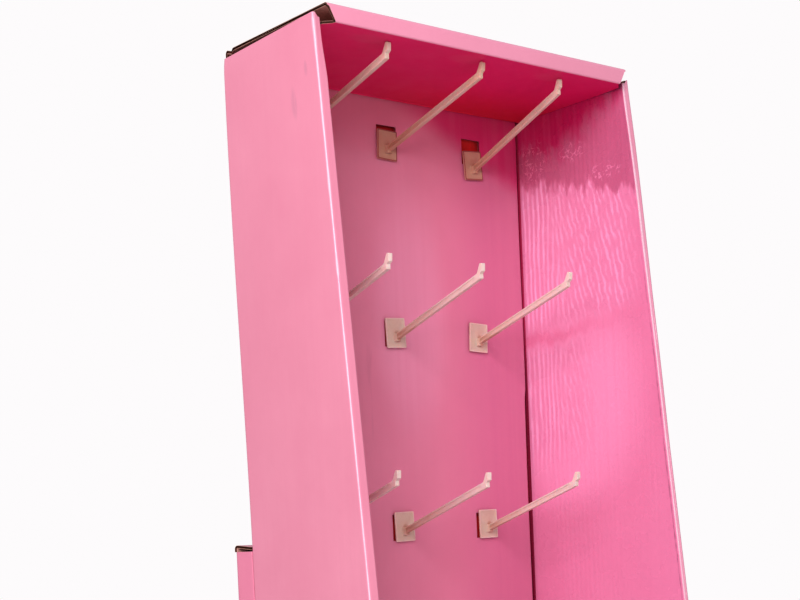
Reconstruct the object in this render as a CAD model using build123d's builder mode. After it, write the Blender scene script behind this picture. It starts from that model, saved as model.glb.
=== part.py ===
"""Floor display stand of printed corrugated board, with moulded plastic hooks.

Frame: origin under the middle of the stand on the floor, +X to the right seen
from the front, +Y to the back, +Z up, in millimetres.

The body is one folded blank: the back, two double side walls that open
outwards, and a hollow top.  A hook panel with hemmed edges stands in front of
the back and carries five rows of three hooks.  A plinth closes the foot, and a
shallow brace is glued behind the back.
"""
from build123d import *
import os
from math import cos, radians, sin, tan

# Board and folds
board = 3.0
fold_inside = 0.8
tuck_clearance = 0.4

# Back and side walls
back_width = 400.0
side_height = 1400.0
side_width_top = 164.7
side_width_bottom = 303.3
flare = 4.1
wall_gap = 2.9
wall_edge_radius = 2.0
inner_leaf_drop = 4.0

# Hollow top
top_rise = 9.0
top_overhang = 8.2
fascia_height = 17.6
fascia_mitre = 9.3
ceiling_drop = 13.4
corner_relief = 5.0

# Hook panel and its windows
panel_side_gap = 1.8
hem_width = 42.0
window_width = 26.8
window_height = 28.0
window_corner = 1.0
first_window_drop = 41.5
column_pitch = 121.5
row_pitch = 210.0
column_count = 3
row_count = 5
columns_off_centre = -4.0

# Brace behind the back
brace_depth = 25.0
brace_height = 909.0
brace_inset = 0.3
brace_flange = 45.0

# Plinth, floor tray and the dividers inside
plinth_height = 270.0
plinth_flange = 30.0
kick_height = 55.0
kick_setback = 5.0
upstand_height = 45.0
divider_spacing = 190.0
divider_end_gap = 3.0
slot_clearance = 0.6

# Hook: cover plate, arm with an upturned tip, neck and rear key, one moulding
plate_width = 26.4
plate_height = 32.2
plate_thickness = 1.6
plate_rim = 1.3
plate_recess = 0.4
plate_corner = 1.2
plate_above_window = 1.0
seat_gap = 1.8
arm_reach = 144.0
arm_rise = 39.5
arm_root_drop = 5.0
arm_width = 5.0
arm_height_root = 6.2
arm_height_tip = 6.8
web_width = 3.6
rib_height = 1.7
web_end_gap = 8.0
root_width = 7.0
root_height = 9.0
root_length = 4.0
root_taper = 8.0
tip_height = 11.8
tip_shoulder = 3.5
tip_overhang = 4.5
tip_top = 3.0
tip_lean = 0.6
tip_rounding = 0.8
bend_rounding = 3.0
heel_above = 1.6
heel_slope = 2.4
heel_setback = 0.8
neck_width = 10.0
neck_height = 9.0
neck_above_centre = 6.5
key_width = 12.0
key_height = 31.0
key_thickness = 1.4
key_gap = 0.2
key_corner = 2.0

# How each hook of the upper rows hangs, by row and column: sideways shift and
# drop of its plate in mm, turn in the panel's plane and swing of the arm to
# the right in degrees, and lift of the arm's end in mm
hanging = {
    (1, 1): (0.0, 7.0, 0.0, 3.8, 0.0),
    (1, 2): (-1.5, 8.5, -2.0, 4.0, 1.8),
    (1, 3): (0.1, 16.2, 4.3, 0.7, 8.2),
    (2, 2): (-0.4, 0.3, 2.8, 0.6, 0.0),
    (2, 3): (-1.8, -0.3, -2.4, 0.7, 0.0),
    (3, 1): (0.0, 0.0, 0.5, 0.0, 0.8),
    (3, 2): (1.0, 0.0, 2.0, -1.3, -1.4),
    (3, 3): (1.8, -0.4, 1.2, 0.6, -1.6),
}
hanging_straight = (0.0, 0.0, 0.0, 0.0, 0.0)

# Places worked out from the sizes above
wall_thickness = 2 * board + wall_gap
fold_outside = board + fold_inside
side_depth_bottom = side_width_bottom * cos(radians(flare))
side_depth_top = side_width_top * cos(radians(flare))
total_depth = side_depth_bottom + brace_depth
back_y = total_depth / 2 - brace_depth
back_inside_y = back_y - board
panel_rear_y = back_inside_y - board
panel_y = panel_rear_y - board
top_z = side_height + top_rise
fascia_y = back_y - side_depth_top - top_overhang
fascia_bottom_z = top_z - fascia_height
deck_under_z = plinth_height - board


def front_edge_y(height):
    """Y of the side walls' front edges at a height: they slope forward going down."""
    share = height / side_height
    return back_y - side_depth_bottom + share * (side_depth_bottom - side_depth_top)


def half_room(y):
    """Half the distance between the side walls' inner faces at a depth."""
    angle = radians(flare)
    return back_width / 2 + tan(angle) * (back_y - y) - wall_thickness / cos(angle)


def room_between_walls(clearance, bottom, top):
    """Prism that fills the space between the side walls, less a clearance."""
    rear_y = panel_y
    front_y = front_edge_y(0)
    rear_half = half_room(rear_y) - clearance
    front_half = half_room(front_y) - clearance
    with BuildPart() as room:
        with BuildSketch(Plane.XY.offset(bottom)):
            with BuildLine():
                Polyline(
                    (-rear_half, rear_y),
                    (rear_half, rear_y),
                    (front_half, front_y),
                    (-front_half, front_y),
                    close=True,
                )
            make_face()
        extrude(amount=top - bottom)
    return room.part


def folded_section(plane, points):
    """Section of a folded sheet: the outer face's line, thickened to its left."""
    with BuildSketch(plane) as section:
        with BuildLine():
            outer_face = FilletPolyline(*points, radius=fold_outside)
            offset(outer_face, amount=board, side=Side.LEFT)
        make_face()
    return section.sketch


def finish(piece, name):
    """Names a piece and writes it to its own file."""
    piece.label = name
    export_step(piece, f"parts/{name}.step")


os.makedirs("parts", exist_ok=True)

# Body: back, double side walls and hollow top, one folded blank
side_plane = Plane(
    origin=(back_width / 2, back_y, 0),
    x_dir=(sin(radians(flare)), -cos(radians(flare)), 0),
    z_dir=(-cos(radians(flare)), -sin(radians(flare)), 0),
)
fold_plane = Plane(origin=side_plane.origin, x_dir=side_plane.z_dir, z_dir=-side_plane.x_dir)
back_and_top = folded_section(
    Plane.YZ.offset(-back_width / 2),
    [
        (back_y, 0),
        (back_y, top_z),
        (fascia_y, top_z),
        (fascia_y, fascia_bottom_z),
        (panel_y, side_height - ceiling_drop),
        (panel_y, side_height),
    ],
)
with BuildPart() as side_walls:
    with BuildSketch(side_plane):
        with BuildLine():
            Polyline(
                (0, 0),
                (side_width_bottom, 0),
                (side_width_top, side_height),
                (0, side_height),
                close=True,
            )
        make_face()
    extrude(amount=wall_thickness)
    front_folds = side_walls.edges().filter_by(lambda e: e.length > side_height / 2).sort_by(Axis.Y)[:2]
    fillet(front_folds, wall_edge_radius)
    with BuildSketch(side_plane.offset(board)):
        with BuildLine():
            Polyline(
                (-board, -board),
                (side_width_bottom - board, -board),
                (side_width_top - board, side_height + board),
                (-board, side_height + board),
                close=True,
            )
        make_face()
    extrude(amount=wall_gap, mode=Mode.SUBTRACT)
    with BuildSketch(side_plane.offset(board)):
        Rectangle(board + tuck_clearance, side_height, align=(Align.MIN, Align.MIN))
    extrude(amount=wall_thickness - board, mode=Mode.SUBTRACT)
    # inner leaf cut lower than the outer one, with the front fold sloping between them
    with BuildSketch(side_plane.offset(board + wall_gap)):
        with Locations((0, side_height)):
            Rectangle(side_width_top + board, inner_leaf_drop, align=(Align.MIN, Align.MAX))
    extrude(amount=board, mode=Mode.SUBTRACT)
    with BuildSketch(fold_plane.offset(2 * board - side_width_top)):
        with BuildLine():
            Polyline(
                (board, side_height),
                (board + wall_gap, side_height - inner_leaf_drop),
                (board + wall_gap, side_height),
                close=True,
            )
        make_face()
    extrude(amount=-3 * board, mode=Mode.SUBTRACT)
    mirror(about=Plane.YZ)

with BuildPart() as body_wrap:
    extrude(back_and_top, amount=back_width)
    # ceiling and its rear flange, cut to fit between the side walls
    with BuildSketch(Plane.XY.offset(side_height - 2 * ceiling_drop)):
        with Locations((0, fascia_y + board)):
            Rectangle(back_width + board, panel_y - fascia_y - board, align=(Align.CENTER, Align.MIN))
        with BuildLine():
            wall_front_y = front_edge_y(side_height) + board
            fold_half = back_width / 2 - fascia_mitre
            Polyline(
                (fold_half, fascia_y + board),
                (half_room(wall_front_y) - tuck_clearance, wall_front_y),
                (half_room(panel_y) - tuck_clearance, panel_y),
                (-half_room(panel_y) + tuck_clearance, panel_y),
                (-half_room(wall_front_y) + tuck_clearance, wall_front_y),
                (-fold_half, fascia_y + board),
                close=True,
            )
        make_face(mode=Mode.SUBTRACT)
    extrude(amount=2 * ceiling_drop + top_rise - board, mode=Mode.SUBTRACT)
    # fascia's mitred ends
    with BuildSketch(Plane.XZ.offset(-fascia_y - board)):
        with BuildLine():
            Polyline(
                (back_width / 2, top_z),
                (back_width / 2 + board, top_z),
                (back_width / 2 + board, fascia_bottom_z - board),
                (back_width / 2 - fascia_mitre, fascia_bottom_z - board),
                (back_width / 2 - fascia_mitre, fascia_bottom_z),
                close=True,
            )
        make_face()
        mirror(about=Plane.YZ)
    extrude(amount=2 * board, mode=Mode.SUBTRACT)
    # corners of the top nicked at the rear crease
    with BuildSketch(Plane.XY.offset(top_z - board)):
        with BuildLine():
            Polyline(
                (back_width / 2, back_inside_y),
                (back_width / 2, back_inside_y - 2 * corner_relief),
                (back_width / 2 - corner_relief, back_inside_y),
                close=True,
            )
        make_face()
        mirror(about=Plane.YZ)
    extrude(amount=board, mode=Mode.SUBTRACT)
    add(side_walls.part)
    # rear creases rounded as far up as the walls reach
    with BuildSketch():
        crease_corner = [
            (back_width / 2, back_y),
            (back_width / 2 + wall_thickness * sin(radians(flare)), back_y - wall_thickness),
            (back_width / 2 - wall_thickness, back_y - wall_thickness),
            (back_width / 2 - wall_thickness, back_y),
        ]
        with BuildLine():
            Polyline(*crease_corner, close=True)
        make_face()
        with BuildSketch(mode=Mode.SUBTRACT) as rounded_corner:
            with BuildLine():
                Polyline(*crease_corner, close=True)
            make_face()
            fillet(rounded_corner.vertices().sort_by_distance(crease_corner[0])[0], fold_outside)
        mirror(about=Plane.YZ)
    extrude(amount=side_height, mode=Mode.SUBTRACT)
finish(body_wrap.part, "body_wrap")

# Hook panel: one sheet with a window for each hook, its side edges hemmed back
panel_half = half_room(panel_y) - panel_side_gap
panel_top = top_z - fold_outside - tuck_clearance
with BuildPart() as hook_panel:
    with BuildSketch(Plane.XZ.offset(-panel_rear_y)):
        Rectangle(2 * panel_half, panel_top, align=(Align.CENTER, Align.MIN))
    extrude(amount=board)
    with BuildSketch(Plane.XZ.offset(-back_inside_y)):
        with Locations((-panel_half, 0)):
            Rectangle(hem_width, panel_top, align=(Align.MIN, Align.MIN))
        with Locations((panel_half, 0)):
            Rectangle(hem_width, panel_top, align=(Align.MAX, Align.MIN))
    extrude(amount=board)
    hem_folds = hook_panel.edges().filter_by(Axis.Z)
    fillet(hem_folds.group_by(Axis.X)[0] + hem_folds.group_by(Axis.X)[-1], fold_inside + board / 2)
    first_window_z = side_height - first_window_drop - window_height / 2
    field_middle_z = first_window_z - (row_count - 1) * row_pitch / 2
    with BuildSketch(Plane.XZ.offset(-panel_rear_y)):
        with Locations((columns_off_centre, field_middle_z)):
            with GridLocations(column_pitch, row_pitch, column_count, row_count):
                RectangleRounded(window_width, window_height, window_corner)
    extrude(amount=board, mode=Mode.SUBTRACT)
finish(hook_panel.part, "hook_panel")

# Brace: shallow folded channel glued behind the back, closed by a flap on top
brace_half = back_width / 2 - brace_inset
brace_rear_y = back_y + brace_depth
brace_channel = folded_section(
    Plane.XY,
    [
        (brace_flange - brace_half, back_y),
        (-brace_half, back_y),
        (-brace_half, brace_rear_y),
        (brace_half, brace_rear_y),
        (brace_half, back_y),
        (brace_half - brace_flange, back_y),
    ][::-1],
)
brace_lid = folded_section(
    Plane.YZ.offset(-brace_half),
    [
        (brace_rear_y, brace_height - 4 * board),
        (brace_rear_y, brace_height),
        (back_y + tuck_clearance, brace_height),
    ],
)
with BuildPart() as rear_brace:
    extrude(brace_channel, amount=brace_height - fold_outside)
    extrude(brace_lid, amount=2 * brace_half)
finish(rear_brace.part, "rear_brace")

# Floor tray: base sheet between the walls, turned up in front as a kick strip
kick_foot_y = front_edge_y(0) + kick_setback
kick_top_y = front_edge_y(kick_height) + kick_setback
room = room_between_walls(tuck_clearance, 0, plinth_height)
tray_section = folded_section(
    Plane.YZ.offset(-back_width),
    [
        (kick_top_y, kick_height),
        (kick_foot_y, 0),
        (panel_y - tuck_clearance, 0),
        (panel_y - tuck_clearance, upstand_height),
    ],
)
with BuildPart() as floor_tray:
    extrude(tray_section, amount=2 * back_width)
    add(room, mode=Mode.INTERSECT)
finish(floor_tray.part, "floor_tray")

# Plinth: deck, sloping front and two glue flanges, one folded sheet
plinth_rear_y = panel_y
tray_wall = board + tuck_clearance
plinth_section = folded_section(
    Plane.YZ.offset(-back_width),
    [
        (plinth_rear_y, plinth_height - plinth_flange),
        (plinth_rear_y, plinth_height),
        (front_edge_y(plinth_height) + kick_setback + tray_wall, plinth_height),
        (front_edge_y(tray_wall) + kick_setback + tray_wall, tray_wall),
        (front_edge_y(tray_wall) + kick_setback + tray_wall + plinth_flange, tray_wall),
    ],
)
with BuildPart() as plinth:
    extrude(plinth_section, amount=2 * back_width)
    add(room, mode=Mode.INTERSECT)
finish(plinth.part, "plinth")

# Dividers inside the plinth: one long board crossed by two short ones, slotted together
divider_height = deck_under_z - board
plinth_front_gap = kick_setback + tray_wall + board + divider_end_gap
flange_end_y = front_edge_y(tray_wall) + kick_setback + tray_wall + plinth_flange
cross_rear_y = panel_y - tray_wall - divider_end_gap
long_divider_y = (front_edge_y(plinth_height) + kick_setback + panel_y) / 2
slot_width = board + slot_clearance
slot_height = (divider_height + slot_clearance) / 2
with BuildPart() as long_divider:
    with BuildSketch(Plane.XZ.offset(-long_divider_y - board / 2)):
        long_width = 2 * (half_room(long_divider_y) - divider_end_gap)
        with Locations((0, board)):
            Rectangle(long_width, divider_height, align=(Align.CENTER, Align.MIN))
        with Locations((-divider_spacing / 2, deck_under_z), (divider_spacing / 2, deck_under_z)):
            Rectangle(slot_width, slot_height, align=(Align.CENTER, Align.MAX), mode=Mode.SUBTRACT)
    extrude(amount=board)
finish(long_divider.part, "long_divider")

for side, name in ((-1, "cross_divider_left"), (1, "cross_divider_right")):
    with BuildPart() as cross_divider:
        with BuildSketch(Plane.YZ.offset(side * divider_spacing / 2 - board / 2)):
            notch_top = board + tray_wall + divider_end_gap
            with BuildLine():
                Polyline(
                    (cross_rear_y, board),
                    (cross_rear_y, deck_under_z),
                    (front_edge_y(deck_under_z) + plinth_front_gap, deck_under_z),
                    (front_edge_y(notch_top) + plinth_front_gap, notch_top),
                    (flange_end_y + divider_end_gap, notch_top),
                    (flange_end_y + divider_end_gap, board),
                    close=True,
                )
            make_face()
            with Locations((long_divider_y, board)):
                Rectangle(slot_width, slot_height, align=(Align.CENTER, Align.MIN), mode=Mode.SUBTRACT)
        extrude(amount=board)
    finish(cross_divider.part, name)


# Hooks: each is one moulding, with its arm sprung a little to the side or up
def moulded_hook(swing, lift):
    """One hook, with its origin on the panel's face behind the plate's middle."""
    plate_front = seat_gap + plate_thickness
    arm_plane = Plane.YZ.rotated((0, 0, swing))
    root = plate_front - plate_recess
    rise = arm_rise + lift
    top = rise + tip_height

    def arm_point(out, height, trim=0):
        """Point of the arm's side view: out from the panel, on its top (1) or underside (-1), less a trim."""
        share = (out - root) / (arm_reach - root)
        middle = share * (rise + arm_root_drop) - arm_root_drop
        half = (arm_height_root + share * (arm_height_tip - arm_height_root)) / 2
        return (-out, middle + height * (half - trim))

    with BuildPart() as hook:
        # cover plate with a raised rim
        with BuildSketch(Plane.XZ.offset(seat_gap)):
            RectangleRounded(plate_width, plate_height, plate_corner)
        extrude(amount=plate_thickness)
        with BuildSketch(Plane.XZ.offset(plate_front)):
            RectangleRounded(plate_width - 2 * plate_rim, plate_height - 2 * plate_rim, plate_corner)
        extrude(amount=-plate_recess, mode=Mode.SUBTRACT)
        # arm and upturned tip in side view
        with BuildSketch(arm_plane) as side_view:
            with BuildLine():
                Polyline(
                    arm_point(root - plate_recess, -1),
                    arm_point(root - plate_recess, 1),
                    arm_point(arm_reach - tip_shoulder, 1),
                    (tip_top - tip_overhang - arm_reach, top),
                    (-tip_overhang - arm_reach, top),
                    (tip_lean - tip_overhang - arm_reach, rise + heel_above + heel_slope),
                    (-arm_reach - heel_setback, rise + heel_above),
                    arm_point(arm_reach + heel_setback, -1),
                    close=True,
                )
            make_face()
            tip_corners = side_view.vertices().sort_by(Axis.Y)[-2:]
            fillet(tip_corners, tip_rounding)
            inner_bend = side_view.vertices().sort_by_distance(arm_point(arm_reach - tip_shoulder, 1))[0]
            fillet(inner_bend, bend_rounding)
        extrude(amount=arm_width / 2, both=True)
        # shallow hollows in the flanks between the arm's upper and lower ribs
        for flank in (-1, 1):
            with BuildSketch(arm_plane.offset(flank * web_width / 2)):
                with BuildLine():
                    Polyline(
                        arm_point(root + root_length, -1, rib_height),
                        arm_point(root + root_length, 1, rib_height),
                        arm_point(arm_reach - web_end_gap, 1, rib_height),
                        arm_point(arm_reach - web_end_gap, -1, rib_height),
                        close=True,
                    )
                make_face()
            extrude(amount=flank * arm_width, mode=Mode.SUBTRACT)
        # tapered root block
        with BuildSketch(Plane.XZ.offset(root)):
            with Locations((0, -arm_root_drop)):
                Rectangle(root_width, root_height)
        extrude(amount=root_length, taper=root_taper)
        # neck through the window and the key behind the panel
        with BuildSketch(Plane.XZ.offset(-board - key_gap)):
            with Locations((0, neck_above_centre)):
                Rectangle(neck_width, neck_height)
        extrude(amount=board + key_gap + seat_gap + plate_thickness / 2)
        with BuildSketch(Plane.XZ.offset(-board - key_gap - key_thickness)):
            RectangleRounded(key_width, key_height, key_corner)
        extrude(amount=key_thickness)
    return hook.part


for row in range(1, row_count + 1):
    for column in range(1, column_count + 1):
        shift, drop, turn, swing, lift = hanging.get((row, column), hanging_straight)
        hook_x = columns_off_centre + (column - (column_count + 1) / 2) * column_pitch + shift
        hook_z = first_window_z - (row - 1) * row_pitch + plate_above_window - drop
        placed = moulded_hook(swing, lift).moved(Location((hook_x, panel_y, hook_z), (0, -turn, 0)))
        finish(placed, f"hook_{row}_{column}")
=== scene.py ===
"""Floor display stand of printed corrugated board with moulded hooks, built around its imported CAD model."""

from functools import partial
from math import cos, pi, radians, sin, tan

import bmesh
import bpy
import numpy as np
from mathutils import Matrix, Vector


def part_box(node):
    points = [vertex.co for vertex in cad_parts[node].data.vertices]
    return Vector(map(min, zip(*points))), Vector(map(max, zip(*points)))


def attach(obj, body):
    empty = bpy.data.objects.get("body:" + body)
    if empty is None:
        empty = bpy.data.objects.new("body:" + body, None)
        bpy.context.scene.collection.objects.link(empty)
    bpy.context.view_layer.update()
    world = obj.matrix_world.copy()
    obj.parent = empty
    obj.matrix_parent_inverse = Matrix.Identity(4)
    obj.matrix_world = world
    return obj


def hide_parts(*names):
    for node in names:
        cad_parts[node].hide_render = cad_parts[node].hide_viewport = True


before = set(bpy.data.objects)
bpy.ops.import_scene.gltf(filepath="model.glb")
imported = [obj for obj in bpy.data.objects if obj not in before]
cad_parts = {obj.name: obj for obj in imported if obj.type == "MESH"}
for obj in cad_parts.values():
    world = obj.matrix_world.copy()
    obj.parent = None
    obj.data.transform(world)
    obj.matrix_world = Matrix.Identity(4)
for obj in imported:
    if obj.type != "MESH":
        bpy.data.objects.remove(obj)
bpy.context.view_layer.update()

# Body, back and hollow top.
# The back, top, fascia, ceiling and its rear flange are one strip of the body's folded blank:
# corrugated board 3 mm thick, printed and varnished on its outside, kraft brown on its inside.
# It is creased and folded over, and its side edges are die cut.
board = 0.003
fold_radius = 0.0038
fascia_edge_radius = 0.0015
back_half = 0.200
back_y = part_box("body_wrap")[1].y
top_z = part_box("body_wrap")[1].z
wall_top_z = 1.400
wall_flare = radians(4.1)
wall_thickness = 0.0089
wall_width_top = 0.1647
wall_width_bottom = 0.3033
panel_y = back_y - 3 * board
fascia_y = back_y - wall_width_top * cos(wall_flare) - 0.0082
fascia_drop = 0.0176
fascia_mitre = 0.0093
ceiling_rear_drop = 0.0134
ceiling_gap = 0.0004
corner_nick = 0.005
crease_run = 0.004
sharp_fold = radians(32)
liner = 0.00035
cell_depth = 0.0022
flute_pitch = 0.0066
cut_drift = 0.23
PRINTED, PLAIN, LINER_EDGE, CELL, SECOND_PRINT, SECOND_PLAIN = range(6)


def folded_line(corners, radii, step):
    """Line of a folded board's printed face through the corners, each fold an arc to the left of the way.

    The printed face looks to the right of the way, and the plain face lies one board's thickness to
    the left. A fold tighter than the board keeps a sharp inside corner, where the two plain faces meet.
    Gives the printed and plain points, the way the printed face looks, and the number of the flat run
    at each point, or that number and a half on a fold.
    """
    corners = np.array(corners, float)
    way = np.diff(corners, axis=0)
    way /= np.linalg.norm(way, axis=1)[:, None]
    left = np.stack([-way[:, 1], way[:, 0]], axis=1)
    fold_points = 6
    printed, plain, facing, run = [], [], [], []
    start, plain_start = corners[0], corners[0] + left[0] * board
    for i in range(len(way)):
        last = i == len(way) - 1
        if last:
            end, plain_end = corners[-1], corners[-1] + left[i] * board
        else:
            radius = radii[i]
            turn = np.arccos(np.clip(way[i] @ way[i + 1], -1, 1))
            reach = radius * tan(turn / 2)
            end = corners[i + 1] - way[i] * reach
            centre = end + left[i] * radius
            inside = corners[i + 1] + (left[i] + left[i + 1]) * board / (1 + left[i] @ left[i + 1])
            plain_end = end + left[i] * board if radius > board else inside
        count = max(2, int(np.ceil(np.linalg.norm(end - start) / step)) + 1)
        share = np.linspace(0, 1, count)[:, None]
        printed.append(start + (end - start) * share)
        plain.append(plain_start + (plain_end - plain_start) * share)
        facing.append(np.repeat(-left[i][None], count, axis=0))
        run.append(np.full(count, float(i)))
        if not last:
            angle = np.linspace(0, turn, fold_points + 2)[1:-1, None]
            look = -left[i] * np.cos(angle) + way[i] * np.sin(angle)
            printed.append(centre + look * radius)
            rounded = centre + look * (radius - board)
            plain.append(rounded if radius > board else np.repeat(inside[None], fold_points, axis=0))
            facing.append(look)
            run.append(np.full(fold_points, i + 0.5))
            start = corners[i + 1] + way[i + 1] * reach
            plain_start = start + left[i + 1] * board if radius > board else inside
    return np.concatenate(printed), np.concatenate(plain), np.concatenate(facing), np.concatenate(run)


def patch(points, facing, material, wear_and_painted_light=0.0, probe=(0, 0), kept=None):
    """Quads between the points of a grid, all turned so that the quad at the probe looks the given way."""
    rows, columns = points.shape[:2]
    i, j = np.meshgrid(np.arange(rows - 1), np.arange(columns - 1), indexing="ij")
    first = i * columns + j
    quads = np.stack([first, first + columns, first + columns + 1, first + 1], axis=-1)
    numbers = np.broadcast_to(np.array(material).reshape(-1, 1), (rows - 1, columns - 1))
    kept = np.ones((rows - 1, columns - 1), bool) if kept is None else kept
    a, b = probe
    across = points[a + 1, b] - points[a, b]
    along = points[a, b + 1] - points[a, b]
    quads = quads[kept]
    if np.cross(across, along) @ np.array(facing) < 0:
        quads = quads[:, ::-1]
    return {
        "points": points.reshape(-1, 3),
        "quads": quads,
        "material": numbers[kept],
        "wear_and_painted_light": np.broadcast_to(wear_and_painted_light, (rows, columns)).reshape(-1),
    }


def run_along(points):
    """Distance travelled along a line of points."""
    return np.concatenate([[0], np.cumsum(np.linalg.norm(np.diff(points, axis=0), axis=1))])


def cut_edge(printed, plain, outward, pitch):
    """Cut edge of the board along a line: both liners' ends, the open cells and the fluting in them.

    The channel between the liners is cell_depth deep. The fluting is a thin ribbon whose height in the
    channel is a sine of the distance along the cut, one wave for each pitch. The edge keeps every point
    of the line, so that it meets the faces on the folds too.
    """
    middle = (printed + plain) / 2
    travel = run_along(middle)
    count = max(2, int(np.ceil(travel[-1] / min(pitch / 8, 0.02))) + 1)
    at = np.unique(np.concatenate([travel, np.linspace(0, travel[-1], count)]).round(6))
    spread = lambda values: np.stack([np.interp(at, travel, values[:, k]) for k in range(3)], axis=1)
    face, across, out = spread(printed), spread(plain - printed), spread(outward)
    lip = liner / board
    share = np.array([0, lip, lip, 1 - lip, 1 - lip, 1])[:, None, None]
    depth = np.array([0, 0, 1, 1, 0, 0])[:, None, None] * cell_depth
    channel = face + across * share - out * depth
    ribbon = 0.06
    height = 0.5 + (0.5 - lip - ribbon / 2) * np.sin(2 * pi * at / pitch + 1.0)
    share = np.stack([height - ribbon / 2, height - ribbon / 2, height + ribbon / 2, height + ribbon / 2])
    depth = np.array([0.97, 0.1, 0.1, 0.97])[:, None, None] * cell_depth
    fluting = face + across * share[:, :, None] - out * depth
    return [
        patch(channel, out[0], [LINER_EDGE, CELL, CELL, CELL, LINER_EDGE]),
        patch(fluting, out[0], [CELL, LINER_EDGE, CELL], probe=(1, 0)),
    ]


def sheet(printed, plain, looks, cuts, wear_and_painted_light=0.0, kept=None):
    """Both faces of a board given as grids of points, and its cut edges.

    cuts names each side that is cut, first_row, last_row, first_column or last_column, and the pitch at
    which its cut crosses the flutes. kept leaves out quads, such as those in a window.
    """
    looks = np.broadcast_to(looks, printed.shape)
    made = [
        patch(printed, looks[0, 0], PRINTED, wear_and_painted_light, kept=kept),
        patch(plain, -looks[0, 0], PLAIN, kept=kept),
    ]
    side = {
        "first_row": (np.s_[0], np.s_[1]),
        "last_row": (np.s_[-1], np.s_[-2]),
        "first_column": (np.s_[:, 0], np.s_[:, 1]),
        "last_column": (np.s_[:, -1], np.s_[:, -2]),
    }
    for name, pitch in cuts.items():
        edge, inner = side[name]
        outward = printed[edge] - printed[inner]
        outward /= np.linalg.norm(outward, axis=-1)[:, None]
        made += cut_edge(printed[edge], plain[edge], outward, pitch)
    return made


def listed(things, name, size=3):
    """One property of many mesh elements as an array."""
    values = np.empty(len(things) * size)
    things.foreach_get(name, values)
    return values.reshape(-1, size)


def close_seams(mesh):
    """Points of a mesh that lie within the seams' reach of each other made one."""
    seam_reach = 2e-6
    joined = bmesh.new()
    joined.from_mesh(mesh)
    bmesh.ops.remove_doubles(joined, verts=joined.verts, dist=seam_reach)
    joined.to_mesh(mesh)
    joined.free()


def board_piece(name, patches, materials):
    """One mesh object of the patches, with the seams between them closed and the rubbing and painted light of
    each point kept on it.

    An edge that only one face uses is sharp, so that a face keeps its own shading beside a cut."""
    gathered = {key: np.concatenate([p[key] for p in patches]) for key in ("points", "material", "wear_and_painted_light")}
    first = np.cumsum([0] + [len(p["points"]) for p in patches])
    quads = np.concatenate([p["quads"] + n for p, n in zip(patches, first)])
    mesh = bpy.data.meshes.new(name)
    mesh.from_pydata(gathered["points"].tolist(), [], quads.tolist())
    mesh.polygons.foreach_set("material_index", gathered["material"].astype(np.int32))
    wear_and_painted_light = mesh.attributes.new("wear_and_painted_light", "FLOAT", "POINT")
    wear_and_painted_light.data.foreach_set("value", gathered["wear_and_painted_light"].astype(np.float32))
    close_seams(mesh)
    mesh.shade_smooth()
    mesh.set_sharp_from_angle(angle=sharp_fold)
    uses = np.bincount(listed(mesh.loops, "edge_index", 1)[:, 0].astype(int), minlength=len(mesh.edges))
    creased = listed(mesh.edges, "use_edge_sharp", 1)[:, 0] > 0.5
    mesh.edges.foreach_set("use_edge_sharp", creased | (uses == 1))
    for material in materials:
        mesh.materials.append(material)
    piece = bpy.data.objects.new(name, mesh)
    bpy.context.scene.collection.objects.link(piece)
    return piece


def finish_nodes(name):
    """A node material with its shader and object coordinates ready to join up."""
    material = bpy.data.materials.new(name)
    material.use_nodes = True
    nodes = material.node_tree.nodes
    return material, nodes["Principled BSDF"], nodes.new("ShaderNodeTexCoord").outputs["Object"]


def fill(node, values):
    """Inputs of a node, each joined to the socket that it is given, or else set to the plain value."""
    for name, value in values.items():
        socket = node.inputs[name]
        if isinstance(value, bpy.types.NodeSocket):
            value.id_data.links.new(value, socket)
        elif isinstance(value, tuple) and len(socket.default_value) == 4:
            socket.default_value = (*value, 1)
        else:
            socket.default_value = value


def node_beside(kind, *values):
    """A new node in the material of the first socket among the values."""
    first = next(value for value in values if isinstance(value, bpy.types.NodeSocket))
    return first.id_data.nodes.new(kind)


def noise(place, scale, detail=3.0, stretch=(1, 1, 1), roughness=0.55):
    """Noise in the frame's metres, scale to the metre, drawn out along an axis by a small stretch."""
    mapping = node_beside("ShaderNodeMapping", place)
    fill(mapping, {"Vector": place, "Scale": stretch})
    texture = node_beside("ShaderNodeTexNoise", place)
    drawn_out = mapping.outputs["Vector"]
    fill(texture, {"Vector": drawn_out, "Scale": scale, "Detail": detail, "Roughness": roughness})
    return texture.outputs["Fac"]


def ramp(value, low, high, low_colour, high_colour):
    """Two colours laid out along a value, the first one up to low and the second one from high on."""
    node = node_beside("ShaderNodeValToRGB", value)
    for element, at, colour in zip(node.color_ramp.elements, (low, high), (low_colour, high_colour)):
        element.position = at
        element.color = (*colour, 1)
    fill(node, {"Fac": value})
    return node.outputs["Color"]


def spread_range(value, low, high, to_low, to_high):
    """A value carried smoothly from one range to another and held at its ends."""
    node = node_beside("ShaderNodeMapRange", value)
    node.interpolation_type = "SMOOTHSTEP"
    fill(node, {"Value": value, "From Min": low, "From Max": high, "To Min": to_low, "To Max": to_high})
    return node.outputs["Result"]


def mixed(share, low, high):
    """Two colours mixed by a share, each of the three a socket or a plain value."""
    node = node_beside("ShaderNodeMix", share, low, high)
    node.data_type = "RGBA"
    fill(node, {0: share, 6: low, 7: high})
    return node.outputs[2]


def reckon(operation, *values):
    """One sum on one or two values, sockets or numbers."""
    node = node_beside("ShaderNodeMath", *values)
    node.operation = operation
    fill(node, dict(enumerate(values)))
    return node.outputs["Value"]


# The four sums that the materials use.
plus, minus, times, over = (partial(reckon, name) for name in ("ADD", "SUBTRACT", "MULTIPLY", "DIVIDE"))


def overlap(*ranges):
    """Product of shares. Each is given by a value, the ends of its range and the shares at those ends."""
    share = spread_range(*ranges[0])
    for given in ranges[1:]:
        share = times(share, spread_range(*given))
    return share


def tinted(colour, tint, *ranges):
    """A colour mixed with a tint by the overlap of the ranges."""
    return mixed(overlap(*ranges), colour, tint)


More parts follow.
